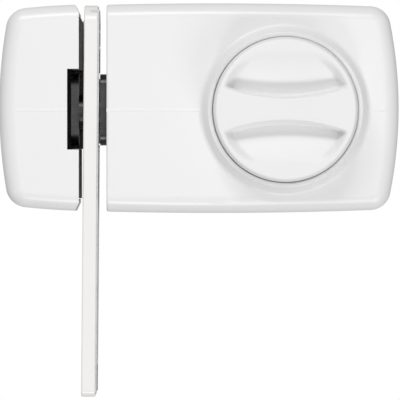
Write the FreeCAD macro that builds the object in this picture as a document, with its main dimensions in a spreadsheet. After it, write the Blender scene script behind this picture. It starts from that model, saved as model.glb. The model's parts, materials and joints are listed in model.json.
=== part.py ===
"""A surface-mounted door lock with a limiter bar: lock case, knob, T-headed bolt, strike and swinging bar.

Millimetres, +Z up. The origin lies on the knob's axis in the plane of the door. The front faces -Y, the
bolt is thrown along -X into the strike, and the bar hangs in the gap between lock and strike.
"""

import FreeCAD, Part
import math
import os
import Sketcher
from FreeCAD import Placement, Rotation, Vector

DIMENSIONS = [
    # the two white covers
    ("cover_depth", 30.0, "door face to cover face"),
    ("cover_wall", 2.2, "moulded wall"),
    ("edge_round", 5.5, "rounding between a cover's face and its sides"),
    ("case_left", 59.9, "knob axis to the case's edge at the bolt"),
    ("case_right", 38.0, "knob axis to the crown of the case's outer side"),
    ("case_top", 35.45, "knob axis to the upper corner at the bolt"),
    ("case_bottom", 34.1, "knob axis to the lower corner at the bolt"),
    ("case_corner_x", 34.2, "knob axis to the outer corners, along the case"),
    ("case_corner_round", 7.0, "rounding of the outer corners"),
    ("case_long_arc", 1400.0, "radius of the slightly bowed upper and lower sides"),
    ("case_side_arc", 146.0, "radius of the bowed outer side"),
    ("case_mid_z", 0.65, "knob axis to the middle of the case's height"),
    ("collar_foot", 28.0, "radius of the knob's collar at the cover face"),
    ("collar_top", 26.0, "radius of the collar at its rim"),
    ("collar_bore", 24.4, "radius inside the collar"),
    ("collar_rise", 5.0, "cover face to collar rim"),
    ("ridge_width", 0.9, "fine moulded ridge across both covers"),
    ("ridge_rise", 0.16, "height of the ridge"),
    ("ridge_z", -0.15, "knob axis to the ridge"),
    ("strike_left", 95.4, "knob axis to the crown of the strike's outer side"),
    ("strike_right", 69.2, "knob axis to the strike cover's inner edge"),
    ("strike_top", 35.45, "knob axis to the strike's upper inner corner"),
    ("strike_bottom", 33.8, "knob axis to the strike's lower inner corner"),
    ("strike_corner_x", 92.7, "knob axis to the strike's outer corners, across"),
    ("strike_corner_top", 33.7, "knob axis to the strike's upper outer corner"),
    ("strike_corner_bottom", 32.0, "knob axis to the strike's lower outer corner"),
    ("strike_corner_round", 7.2, "rounding of the strike's outer corners"),
    ("strike_side_arc", 165.0, "radius of the strike's bowed outer side"),
    ("strike_long_arc", 240.0, "radius of the strike's upper and lower sides"),
    ("notch_left", 73.1, "knob axis to the inner end of the strike's notch"),
    ("notch_top", 13.8, "knob axis to the notch's upper edge"),
    ("notch_bottom", 13.3, "knob axis to the notch's lower edge"),
    # the bolt and its drive
    ("bolt_mid_y", 14.5, "door face to the middle of the bolt"),
    ("bolt_thick", 11.4, "bolt, front to back"),
    ("bolt_top", 12.3, "knob axis to the bolt's upper edge"),
    ("bolt_bottom", 11.7, "knob axis to the bolt's lower edge"),
    ("bolt_round", 4.2, "rounding of the bolt's front edges"),
    ("shoulder_x", 62.25, "knob axis to the bolt's shoulder behind the bar"),
    ("head_tip_x", 72.0, "knob axis to the tip of the T head"),
    ("head_thick", 2.6, "T head, along the bolt"),
    ("neck_radius", 5.7, "round neck that stands in the bar's slot"),
    ("fork_x", 23.3, "knob axis to the bottom of the bolt's fork"),
    ("tail_x", 15.5, "knob axis to the end of the bolt's fork"),
    ("gear_module", 0.7, "rack and pinion"),
    ("gear_teeth", 24.0, "pinion teeth"),
    ("rack_teeth", 18.0, "gaps cut in the bolt's rack"),
    ("journal_radius", 6.0, "pinion journals"),
    ("bush_radius", 8.0, "outside of the pinion's bushes"),
    ("spindle_side", 8.0, "square spindle between knob and pinion"),
    ("fit_gap", 0.05, "running clearance on a radius"),
    ("knob_radius", 24.2, "knob disc"),
    ("knob_front", 42.0, "door face to the knob's front"),
    ("knob_dish", 5.5, "depth of the knob's two finger recesses"),
    ("knob_rim", 21.8, "radius of the recesses' outer sides"),
    ("knob_ledge", 21.9, "radius inside the ledge under the knob's rim"),
    ("grip_end", 7.65, "half the grip's width at its ends"),
    ("grip_arc", 58.8, "radius of the grip's hollow sides"),
    # the lock's inner parts
    ("plate_thick", 2.0, "steel plates"),
    ("chest_half", 18.5, "half the height of the mechanism case"),
    ("chest_cavity", 14.2, "half the height of the channel in it"),
    ("chest_left", 57.0, "knob axis to the mechanism case's open end"),
    ("chest_right", 31.0, "knob axis to its closed end"),
    # the bar
    ("bar_left", 67.5, "knob axis to the bar's face at the strike"),
    ("bar_right", 62.8, "knob axis to the sleeve's face at the lock"),
    ("core_right", 62.4, "knob axis to the steel core's proud face"),
    ("core_left", 65.4, "knob axis to the core's bedded face"),
    ("bar_front", 28.0, "door face to the bar's front edge"),
    ("bar_rear", 2.2, "door face to the bar's rear edge"),
    ("bar_bottom", 96.3, "knob axis to the bar's lower end"),
    ("bar_lean", 0.45, "play at the pivot: degrees that the bar hangs out of plumb"),
    ("pivot_z", 24.0, "knob axis to the bar's pivot"),
    ("pivot_radius", 3.0, "pivot pin"),
    ("eye_radius", 11.3, "bar's eye round the pivot"),
    ("slot_half", 6.2, "half the width of the bar's slot"),
    ("slot_end", 82.3, "knob axis to the centre of the slot's round end"),
    ("mouth_radius", 37.0, "pivot to the lower lip of the slot's mouth"),
    ("sleeve_rim", 1.6, "sleeve round the core"),
]

doc = FreeCAD.newDocument("rim_lock")
sheet = doc.addObject("Spreadsheet::Sheet", "Sizes")
for row, (alias, number, meaning) in enumerate(DIMENSIONS, start=1):
    sheet.set(f"A{row}", alias)
    sheet.set(f"B{row}", str(number))
    sheet.setAlias(f"B{row}", alias)
    sheet.set(f"C{row}", meaning)
doc.recompute()


class Size:
    """A length together with the sheet formula that gives it, so that sums stay tied to the sheet."""

    def __init__(self, value, formula=None):
        self.value = float(value)
        self.formula = formula or f"({float(value)})"

    def combine(self, other, sign, value):
        return Size(value, f"({self.formula} {sign} {size(other).formula})")

    def __add__(self, other):
        return self.combine(other, "+", self.value + size(other).value)

    def __sub__(self, other):
        return self.combine(other, "-", self.value - size(other).value)

    def __mul__(self, other):
        return self.combine(other, "*", self.value * size(other).value)

    def __truediv__(self, other):
        return self.combine(other, "/", self.value / size(other).value)

    def __radd__(self, other):
        return size(other) + self

    def __rsub__(self, other):
        return size(other) - self

    def __rmul__(self, other):
        return size(other) * self

    def __neg__(self):
        return Size(0) - self


def size(number):
    """A plain number or a Size, as a Size."""
    return number if isinstance(number, Size) else Size(number)


S = {alias: Size(number, f"Sizes.{alias}") for alias, number, _ in DIMENSIONS}
pieces = {}


# ---------------------------------------------------------------- how pieces are made


def bind(item, path, length):
    """Ties one property to its sheet formula."""
    item.setExpression(path, size(length).formula)


def new_body(label):
    """An empty body that will be one node."""
    body = doc.addObject("PartDesign::Body", label)
    body.Label = label
    pieces[label] = body
    return body


def origin_item(body, role):
    """One of a body's own planes or axes."""
    return next(item for item in body.Origin.OriginFeatures if item.Role == role)


def pin_point(sketch, element, end, x, y):
    """Holds one end of an element at (x, y)."""
    for kind, axis, length in (("DistanceX", -2, x), ("DistanceY", -1, y)):
        length = size(length)
        if abs(length.value) < 1e-6:
            sketch.addConstraint(Sketcher.Constraint("PointOnObject", element, end, axis))
            continue
        at = sketch.addConstraint(Sketcher.Constraint(kind, -1, 1, element, end, length.value))
        sketch.setExpression(f"Constraints[{at}]", length.formula)


def circle(x, y, radius):
    """A round loop for draw()."""
    return ("circle", x, y, radius)


def add_circle(sketch, x, y, radius):
    centre = Vector(size(x).value, size(y).value, 0)
    element = sketch.addGeometry(Part.Circle(centre, Vector(0, 0, 1), size(radius).value))
    pin_point(sketch, element, 3, x, y)
    at = sketch.addConstraint(Sketcher.Constraint("Radius", element, size(radius).value))
    sketch.setExpression(f"Constraints[{at}]", size(radius).formula)


def arc_between(start, finish, radius):
    """The arc from start to finish: its centre is on the left for a positive radius, else on the right."""
    chord = finish - start
    reach = math.sqrt(max(radius * radius - chord.Length * chord.Length / 4, 0.0))
    left = Vector(-chord.y, chord.x, 0).normalize()
    centre = (start + finish) * 0.5 + left * math.copysign(reach, radius)
    first, last = (start, finish) if radius > 0 else (finish, start)
    angles = [math.atan2(point.y - centre.y, point.x - centre.x) for point in (first, last)]
    if angles[1] < angles[0]:
        angles[1] += 2 * math.pi
    return Part.ArcOfCircle(Part.Circle(centre, Vector(0, 0, 1), abs(radius)), *angles)


def add_loop(sketch, corners):
    """A closed loop. A corner is (x, y), or (x, y, radius) where the side that leaves it is an arc."""
    spots = [Vector(size(c[0]).value, size(c[1]).value, 0) for c in corners]
    ends = []
    for here, corner in enumerate(corners):
        start, finish = spots[here], spots[(here + 1) % len(spots)]
        if len(corner) == 2:
            element = sketch.addGeometry(Part.LineSegment(start, finish))
            ends.append((element, 1, 2))
            continue
        radius = size(corner[2])
        element = sketch.addGeometry(arc_between(start, finish, radius.value))
        ends.append((element, 1, 2) if radius.value > 0 else (element, 2, 1))
        at = sketch.addConstraint(Sketcher.Constraint("Radius", element, abs(radius.value)))
        sketch.setExpression(f"Constraints[{at}]", (radius if radius.value > 0 else -radius).formula)
    for here, corner in enumerate(corners):
        element, first, _ = ends[here]
        before, _, last = ends[here - 1]
        sketch.addConstraint(Sketcher.Constraint("Coincident", before, last, element, first))
        pin_point(sketch, element, first, corner[0], corner[1])


def draw(body, plane, start, loops):
    """A sketch of closed loops on one of the body's planes, moved along the plane's normal by start."""
    sketch = body.newObject("Sketcher::SketchObject", body.Label + "_sketch")
    sketch.AttachmentSupport = [(origin_item(body, plane), "")]
    sketch.MapMode = "FlatFace"
    bind(sketch, "AttachmentOffset.Base.z", start)
    for loop in loops:
        if loop[0] == "circle":
            add_circle(sketch, *loop[1:])
        else:
            add_loop(sketch, loop)
    doc.recompute()
    return sketch


def feature(body, kind, profile, properties):
    """A PartDesign feature of a sketch, with its numbers tied to the sheet."""
    item = body.newObject("PartDesign::" + kind, f"{body.Label}_{kind.lower()}")
    item.Profile = profile
    for name, number in properties.items():
        bind(item, name, number)
    return item


def pad(body, plane, start, depth, loops):
    """Adds a prism from start to start + depth along the plane's normal."""
    item = feature(body, "Pad", draw(body, plane, start, loops), {"Length": depth})
    doc.recompute()
    return item


def cut(body, plane, start, depth, loops):
    """Takes a prism away, and stops if it took nothing."""
    before = body.Shape.Volume
    item = feature(body, "Pocket", draw(body, plane, start, loops), {"Length": depth})
    item.Reversed = True
    doc.recompute()
    if not body.Shape.Volume < before - 1e-3:
        raise ValueError(f"{body.Label}: a cut took nothing away")
    return item


def turn(body, loop, remove=False):
    """Adds or takes away a solid of revolution about the knob's axis: the loop is (radius, y) corners."""
    kind = "Groove" if remove else "Revolution"
    sketch = draw(body, "XY_Plane", 0, [loop])
    item = feature(body, kind, sketch, {})
    item.ReferenceAxis = (sketch, ["V_Axis"])
    item.Angle = 360
    doc.recompute()
    return item


def box_loop(left, bottom, right, top):
    """Four corners of a rectangle, anticlockwise."""
    return [(left, bottom), (right, bottom), (right, top), (left, top)]


def round_edges(body, radius, chosen):
    """Fillets the edges of the body for which chosen(edge) holds."""
    base = body.Tip
    names = [f"Edge{i}" for i, edge in enumerate(base.Shape.Edges, start=1) if chosen(edge)]
    if not names:
        raise ValueError(f"{body.Label}: no edge to round")
    item = body.newObject("PartDesign::Fillet", body.Label + "_round")
    item.Base = (base, names)
    bind(item, "Radius", radius)
    doc.recompute()
    return item


def along(edge, direction):
    """Whether an edge is straight and runs along a direction."""
    if not isinstance(edge.Curve, Part.Line):
        return False
    run = edge.Vertexes[-1].Point - edge.Vertexes[0].Point
    return abs(run.normalize().dot(direction)) > 0.999


def plate(label, plane, start, depth, loops):
    """A flat piece: one padded sketch."""
    body = new_body(label)
    pad(body, plane, start, depth, loops)
    return body


def rod(label, radius, length, at, direction):
    """A Part cylinder from a point along an axis: part of a screw or pin, joined later."""
    item = doc.addObject("Part::Cylinder", label)
    bind(item, "Radius", radius)
    bind(item, "Height", length)
    item.Placement = Placement(Vector(), Rotation(Vector(0, 0, 1), direction))
    for name, number in zip("xyz", at):
        bind(item, f"Placement.Base.{name}", number)
    return item


def cone(label, near, far, length, at, direction):
    """A Part cone from a point along an axis, from radius near to radius far."""
    item = doc.addObject("Part::Cone", label)
    bind(item, "Radius1", near)
    bind(item, "Radius2", far)
    bind(item, "Height", length)
    item.Placement = Placement(Vector(), Rotation(Vector(0, 0, 1), direction))
    for name, number in zip("xyz", at):
        bind(item, f"Placement.Base.{name}", number)
    return item


def fuse(label, shapes):
    """Joins touching Part objects into one solid."""
    item = doc.addObject("Part::MultiFuse", label)
    item.Label = label
    item.Shapes = shapes
    item.Refine = True
    return item


def cut_from(label, base, tool):
    item = doc.addObject("Part::Cut", label)
    item.Label = label
    item.Base = base
    item.Tool = tool
    return item


def ring(label, outer, inner, length, at, direction):
    """A washer or bush."""
    body = rod(label + "_outside", outer, length, at, direction)
    hole = rod(label + "_hole", inner, length, at, direction)
    pieces[label] = cut_from(label, body, hole)
    return pieces[label]


def group(label, members):
    """Several separate, identical pieces in one node."""
    item = doc.addObject("Part::Compound", label)
    item.Label = label
    item.Links = members
    pieces[label] = item
    return item


OUT = Vector(0, -1, 0)
TO_DOOR = Vector(0, 1, 0)
TO_LOCK = Vector(1, 0, 0)
TO_STRIKE = Vector(-1, 0, 0)
UP = Vector(0, 0, 1)

bolt_back = S["bolt_mid_y"] - S["bolt_thick"] / 2
bolt_front = S["bolt_mid_y"] + S["bolt_thick"] / 2
pitch_radius = S["gear_module"] * S["gear_teeth"] / 2
chest_floor = bolt_back - 0.1
chest_mouth = bolt_front + 0.1
lid_front = chest_mouth + S["plate_thick"]


# ---------------------------------------------------------------- screws and rivets

SCREW_RADIUS = 1.5
SCREW_HEAD = 2.8
SCREW_HEAD_DEEP = 1.6


def countersunk(label, at, direction, length):
    """A countersunk screw. at is the middle of its head, and direction the way it is driven."""
    head = cone(label + "_head", SCREW_HEAD, SCREW_RADIUS, SCREW_HEAD_DEEP, at, direction)
    shank = rod(label + "_shank", SCREW_RADIUS, length, at, direction)
    slot = doc.addObject("Part::Box", label + "_slot")
    slot.Length, slot.Width, slot.Height = 4.2, 0.7, 0.8
    middle = Vector(*[size(number).value for number in at])
    slot.Placement = Placement(middle, Rotation(Vector(0, 0, 1), direction))
    offset = slot.Placement.Rotation.multVec(Vector(-2.1, -0.35, 0))
    slot.Placement.Base = middle + offset
    return cut_from(label, fuse(label + "_body", [head, shank]), slot)


def cheese_head(label, at, direction, length, head=SCREW_HEAD, deep=SCREW_HEAD_DEEP):
    """A cheese-head screw. at is the middle of the head's underside, and direction the way it is driven."""
    back = direction * -1
    cap = rod(label + "_head", head, deep, at, back)
    shank = rod(label + "_shank", SCREW_RADIUS, length, at, direction)
    middle = Vector(*[size(number).value for number in at]) + back * deep
    slot = doc.addObject("Part::Box", label + "_slot")
    slot.Length, slot.Width, slot.Height = 2 * head + 0.4, 0.7, 0.8
    slot.Placement = Placement(middle, Rotation(Vector(0, 0, 1), direction))
    offset = slot.Placement.Rotation.multVec(Vector(-head - 0.2, -0.35, 0))
    slot.Placement.Base = middle + offset
    return cut_from(label, fuse(label + "_body", [cap, shank]), slot)


# ---------------------------------------------------------------- lock case


def case_outline(inset):
    """The case's outline seen from the front, drawn in by inset, anticlockwise."""
    left = inset - S["case_left"]
    right = S["case_corner_x"] - inset
    top = S["case_top"] - inset
    bottom = inset - S["case_bottom"]
    outer_top = S["case_top"] - 0.75 - inset
    outer_bottom = inset + 0.75 - S["case_bottom"]
    return [
        (left, bottom, S["case_long_arc"] - inset),
        (right, outer_bottom, S["case_side_arc"] - inset),
        (right, outer_top, S["case_long_arc"] - inset),
        (left, top),
    ]


def is_outer_corner(edge):
    """An upright corner of the case away from the bolt."""
    return along(edge, OUT) and edge.CenterOfMass.x > 0


def on_front(edge):
    """An edge of a cover's face, except the straight one beside the bar."""
    deep = S["cover_depth"].value
    return abs(edge.BoundBox.YMin + deep) < 1e-4 and edge.BoundBox.YLength < 1e-4 and not along(edge, UP)


def ridge(body, left, right):
    """The fine moulded ridge across a cover's face."""
    half = S["ridge_width"] / 2
    mid = S["ridge_z"]
    deep = S["cover_depth"]
    loop = [(-deep + 0.2, mid - half * 1.6), (-deep + 0.2, mid + half * 1.6), (-deep, mid + half),
            (-deep - S["ridge_rise"], mid), (-deep, mid - half)]
    pad(body, "YZ_Plane", left, right - left, [loop])


def make_lock_cover():
    """White shell over the lock, with the raised collar that the knob sits in."""
    body = new_body("lock_cover")
    pad(body, "XZ_Plane", 0, S["cover_depth"], [case_outline(size(0))])
    round_edges(body, S["case_corner_round"], is_outer_corner)
    round_edges(body, S["edge_round"], on_front)
    wall = S["cover_wall"]
    cut(body, "XZ_Plane", -1, S["cover_depth"] - wall + 1, [case_outline(wall)])
    inner = S["case_corner_round"] - wall
    round_edges(body, inner, lambda e: is_outer_corner(e) and e.CenterOfMass.x < 33)
    inside = S["cover_depth"] - wall - 1
    turn(body, [(0, -inside), (S["collar_foot"], -inside), (S["collar_foot"], -S["cover_depth"]),
                (S["collar_top"], -S["cover_depth"] - S["collar_rise"]),
                (0, -S["cover_depth"] - S["collar_rise"])])
    round_edges(body, 1.6, is_collar_foot)
    floor = S["cover_depth"] - 1
    above = S["cover_depth"] + S["collar_rise"] + 2
    turn(body, [(0, -floor), (S["knob_ledge"] + 0.3, -floor), (S["knob_ledge"] + 0.3, -LEDGE_AT),
                (S["collar_bore"], -LEDGE_AT), (S["collar_bore"], -above), (0, -above)], remove=True)
    cut(body, "XZ_Plane", 0, S["cover_depth"], [circle(0, 0, S["bush_radius"] + 0.08)])
    gap = 0.4
    cut(body, "YZ_Plane", -S["case_left"] - 1, wall + 2,
        [box_loop(-bolt_front - gap, -S["bolt_bottom"] - gap, gap - bolt_back, S["bolt_top"] + gap)])
    cut(body, "YZ_Plane", -S["case_left"] - 1, wall + 2,
        [box_loop(-S["plate_thick"] - 0.2, -TONGUE_HALF - 0.3, 1, TONGUE_HALF + 0.3)])
    soften_left_edge(body)
    for x in COVER_SCREW_X:
        screw_recess(body, x, CASE_SCREW_FACE)
    soften_collar(body)
    for left, right in ((-S["case_left"], -S["collar_top"]), (S["collar_top"], S["case_right"] - 4.6)):
        ridge(body, left, right)


def soften_left_edge(body):
    """Rounds the front edge of the side that faces the bar."""
    side_x, deep = -S["case_left"].value, -(S["cover_depth"] - S["edge_round"] - 0.1).value

    def on_left_front(edge):
        box = edge.BoundBox
        return abs(box.XMin - side_x) < 1e-4 and box.XLength < 1e-4 and box.YMax < deep

    round_edges(body, 0.7, on_left_front)


def is_collar_foot(edge):
    """The circle where the collar rises from the cover's face."""
    return on_front(edge) and abs(edge.BoundBox.XLength - 2 * S["collar_foot"].value) < 0.01


LEDGE_AT = 32.0
TONGUE_HALF = 11.0
COVER_SCREW_X = (-40.0, 15.0)
CASE_SCREW_FACE = -33.2
STRIKE_SCREW_X = -82.0
STRIKE_SCREW_FACE = -32.0
COVER_SCREW_Y = 8.0
TAB_THICK = 2.0
TAB_HALF = 5.0


def soften_collar(body):
    """Rounds the collar's rim."""
    rim_y = -(S["cover_depth"] + S["collar_rise"]).value

    def on_rim(edge):
        return abs(edge.BoundBox.YMin - rim_y) < 1e-4 and edge.BoundBox.YLength < 1e-4

    round_edges(body, 0.5, on_rim)


def screw_recess(body, x, face):
    """A counterbored hole in a cover's lower wall. face is the height of the screw head's seat."""
    cut(body, "XY_Plane", face - 4, 4, [circle(x, -COVER_SCREW_Y, SCREW_HEAD + 0.2)])
    cut(body, "XY_Plane", face - 1, 4, [circle(x, -COVER_SCREW_Y, SCREW_RADIUS + 0.1)])


def cover_tab(body, x, low):
    """A tab of the steel plate that a cover screw is driven into. low is the height of its underside."""
    pad(body, "XY_Plane", low, TAB_THICK, [box_loop(x - TAB_HALF, -13.0, x + TAB_HALF, -0.5)])
    cut(body, "XY_Plane", low - 1, TAB_THICK + 2, [circle(x, -COVER_SCREW_Y, SCREW_RADIUS)])


DOOR_HOLES = [(x, z) for x in (-50.0, 21.0) for z in (-24.0, 24.0)]
CHEST_HOLES = [(x, z) for x in (-40.0, 18.0) for z in (-16.3, 16.3)]
LID_HOLES = [(x, z) for x in (-53.0, 28.0) for z in (-16.3, 16.3)]
DOOR_HOLE_RADIUS = 2.6
CYLINDER_HOLE_RADIUS = 11.0


def make_back_plate():
    """Steel plate that is screwed to the door and carries everything of the lock."""
    loops = [box_loop(-57.2, -30.4, 26.0, 30.4), circle(0, 0, CYLINDER_HOLE_RADIUS)]
    loops += [circle(x, z, DOOR_HOLE_RADIUS) for x, z in DOOR_HOLES]
    loops += [circle(x, z, SCREW_RADIUS) for x, z in CHEST_HOLES]
    body = plate("lock_back_plate", "XZ_Plane", 0, S["plate_thick"], loops)
    pad(body, "XZ_Plane", 0, S["plate_thick"], [box_loop(-63.6, -TONGUE_HALF, -56, TONGUE_HALF)])
    for x in COVER_SCREW_X:
        cover_tab(body, x, -31.5)
    for x, z in CHEST_HOLES:
        cone_hole(body, x, z)
    return body


def cone_hole(body, x, z):
    """A countersink in a plate's rear face."""
    sketch = draw(body, "XY_Plane", z, [[
        (x, 0.0), (x + SCREW_HEAD, 0.0), (x + SCREW_RADIUS, -SCREW_HEAD_DEEP), (x, -SCREW_HEAD_DEEP)]])
    item = feature(body, "Groove", sketch, {})
    item.ReferenceAxis = (sketch, ["Edge4"])
    item.Angle = 360
    doc.recompute()


def make_mechanism_case():
    """Die-cast tray that the bolt slides in and the pinion turns in."""
    half = S["chest_half"]
    body = plate("mechanism_case", "XZ_Plane", S["plate_thick"], chest_mouth - S["plate_thick"],
                 [box_loop(-S["chest_left"], -half, S["chest_right"], half)])
    hollow = S["chest_cavity"]
    cut(body, "XZ_Plane", chest_floor, chest_mouth - chest_floor + 1,
        [box_loop(-S["chest_left"] - 1, -hollow, S["chest_right"] - 2, hollow)])
    cut(body, "XZ_Plane", 0, chest_floor + 1, [circle(0, 0, S["bush_radius"])])
    for x, z in CHEST_HOLES:
        cut(body, "XZ_Plane", 0, 12, [circle(x, z, SCREW_RADIUS)])
    for x, z in LID_HOLES:
        cut(body, "XZ_Plane", chest_mouth - 8, 10, [circle(x, z, SCREW_RADIUS)])
    return body


def make_mechanism_lid():
    """Steel lid of the tray, which holds the pinion's front bush."""
    half = S["chest_half"]
    loops = [box_loop(-S["chest_left"], -half, S["chest_right"], half), circle(0, 0, S["bush_radius"])]
    loops += [circle(x, z, SCREW_RADIUS + 0.1) for x, z in LID_HOLES]
    return plate("mechanism_lid", "XZ_Plane", chest_mouth, S["plate_thick"], loops)


def make_bolt_guides():
    """Nylon strips above and below the bolt."""
    left, right = -S["chest_left"] + 1, -26.5
    slack = 0.1
    for label, low, high in (
        ("bolt_guide_upper", S["bolt_top"] + slack, S["chest_cavity"]),
        ("bolt_guide_lower", -S["chest_cavity"], -S["bolt_bottom"] - slack),
    ):
        plate(label, "XZ_Plane", chest_floor, chest_mouth - chest_floor, [box_loop(left, low, right, high)])


NOTCH_X = -10.0
NOTCH_HALF = 1.9
NOTCH_DEEP = 1.1


def make_detent_spring():
    """Leaf spring whose nose holds the bolt at each of its three places."""
    anchor = S["chest_cavity"] - 0.05
    thick = 0.4
    crest = S["bolt_top"] + 0.7
    nose = S["bolt_top"] - 0.2
    bend = [(-24.0, anchor), (-20.0, anchor), (-12.0, crest), (NOTCH_X, nose), (-8.0, crest),
            (0.0, anchor), (4.0, anchor)]
    under = [(x, z - thick) for x, z in bend]
    plate("detent_spring", "XZ_Plane", 10.5, 8.0, [under + bend[::-1]])


def make_bushes():
    """Nylon bushes that the pinion's journals run in, each with a low thrust lip."""
    bore = S["journal_radius"] + S["fit_gap"]
    lip = 0.5
    for label, seat, long, lip_at in (
        ("pinion_bush_rear", S["plate_thick"], chest_floor - S["plate_thick"], chest_floor),
        ("pinion_bush_front", chest_mouth, S["plate_thick"], chest_mouth - lip),
    ):
        body = plate(label, "XZ_Plane", seat, long, [circle(0, 0, S["bush_radius"]), circle(0, 0, bore)])
        pad(body, "XZ_Plane", lip_at, lip, [circle(0, 0, S["journal_radius"] + 1.3), circle(0, 0, bore)])


# ---------------------------------------------------------------- knob and drive


def involute_tooth(module, teeth, backlash):
    """One tooth of the pinion, centred on +Z, as (x, z) corners from root to root.

    The flanks are true involutes, sampled at a few radii, so that their chords lie inside the tooth.
    """
    pitch = module * teeth / 2
    base = pitch * math.cos(math.radians(20))
    root, tip = pitch - 1.25 * module, pitch + module

    def half_angle(radius):
        def unwind(r):
            ratio = max(r / base, 1.0)
            return math.sqrt(ratio * ratio - 1) - math.atan(math.sqrt(ratio * ratio - 1))
        at_pitch = (math.pi * module / 2 - backlash) / (2 * pitch)
        return at_pitch + unwind(pitch) - unwind(radius)

    radii = [root, base, (base + pitch) / 2, pitch, (pitch + tip) / 2, tip]
    flank = [(half_angle(radius), radius) for radius in radii]
    both = [(-angle, radius) for angle, radius in flank] + flank[::-1]
    return [(radius * math.sin(angle), radius * math.cos(angle)) for angle, radius in both]


def make_pinion():
    """Die-cast pinion with its two journals and a square socket for the spindle."""
    teeth = int(S["gear_teeth"].value)
    front, back = (chest_mouth - 0.7).value, (chest_floor + 0.7).value
    journal_back, journal_front = 2.6, (lid_front + 1.0).value
    tooth = involute_tooth(S["gear_module"].value, teeth, 0.1)
    profile = []
    for number in range(teeth):
        angle = 2 * math.pi * number / teeth
        turned = [(x * math.cos(angle) + z * math.sin(angle), z * math.cos(angle) - x * math.sin(angle))
                  for x, z in tooth]
        profile += [Vector(x, -back, z) for x, z in turned]
    wheel = Part.Face(Part.makePolygon(profile + profile[:1])).extrude(OUT * (front - back))
    journal = Part.makeCylinder(S["journal_radius"].value, journal_front - journal_back,
                                Vector(0, -journal_back, 0), OUT)
    side = S["spindle_side"].value + 0.1
    socket = Part.makeBox(side, journal_front, side, Vector(-side / 2, -journal_front - 4.5, -side / 2))
    blade_slot = Part.makeBox(8.2, 3.0, 2.6, Vector(-4.1, -5.0, -1.3))
    item = doc.addObject("Part::Feature", "pinion")
    item.Shape = wheel.fuse(journal).removeSplitter().cut(socket).cut(blade_slot)
    pieces["pinion"] = item


def make_knob():
    """White turn knob: a disc with a waisted grip between two finger recesses, on a boss with a socket."""
    disc = new_body("knob_disc")
    front = S["knob_front"]
    under = S["cover_depth"] - 0.55
    boss_end = 23.6
    boss = S["bush_radius"]
    rim = 2.0
    edge = LEDGE_AT + 0.3
    turn(disc, [
        (0, -boss_end), (0, -front), (S["knob_radius"] - rim, -front, -rim), (S["knob_radius"], rim - front),
        (S["knob_radius"], -edge), (S["knob_ledge"], -edge), (S["knob_ledge"], -under),
        (boss, -under), (boss, -26.5), (boss - 0.8, -26.5), (boss - 0.8, -25.3), (boss, -25.3),
        (boss, -boss_end),
    ])
    half = S["spindle_side"] / 2 + 0.05
    cut(disc, "XZ_Plane", boss_end - 1, 9.5, [box_loop(-half, -half, half, half)])
    pieces.pop("knob_disc")
    recesses = []
    for side in (1, -1):
        recesses.append(finger_recess(f"recess_{side + 1}", side))
    pair = doc.addObject("Part::MultiFuse", "recesses")
    pair.Shapes = recesses
    pieces["knob"] = cut_from("knob", disc, pair)


def finger_recess(label, side):
    """What one finger recess takes away: a lens seen from the front, scooped out along the grip."""
    front = S["knob_front"]
    end_x = math.sqrt(S["knob_rim"].value ** 2 - S["grip_end"].value ** 2)
    lens_corners = [(-end_x, S["grip_end"] * side, S["grip_arc"] * side), (end_x, S["grip_end"] * side,
                                                                         S["knob_rim"] * side)]
    lens = plate(label + "_lens", "XZ_Plane", front - 8, 10, [lens_corners])
    scoop = plate(label + "_scoop", "YZ_Plane", -23, 46, [[
        (-front - 1, 2 * side), (S["knob_dish"] - front, 2 * side),
        (S["knob_dish"] - front, 4 * side, 9 * side), (4 - front, 9 * side, -23.8 * side),
        (-front, 22.2 * side), (-front - 1, 22.2 * side)]])
    pieces.pop(label + "_lens")
    pieces.pop(label + "_scoop")
    common = doc.addObject("Part::MultiCommon", label)
    common.Shapes = [lens, scoop]
    return common


def make_drive():
    """Square spindle, the snap ring behind the cover and the slip washer in front of it."""
    half = S["spindle_side"] / 2
    plate("spindle", "XZ_Plane", 5.2, 26.2, [box_loop(-half, -half, half, half)])
    inner = S["bush_radius"] - 0.75
    outer = S["bush_radius"] + 1.6
    ring_back = 25.4
    jaw = 3.0
    body = plate("knob_snap_ring", "XZ_Plane", ring_back, 1.0, [circle(0, 0, outer), circle(0, 0, inner)])
    cut(body, "XZ_Plane", ring_back - 1, 3.0, [box_loop(-jaw, -outer - 1, jaw, 0)])
    ring("knob_washer", 17.0, S["bush_radius"] + 1.2, 0.4, (0, -S["cover_depth"] + 1, 0), OUT)


# ---------------------------------------------------------------- bolt


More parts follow.
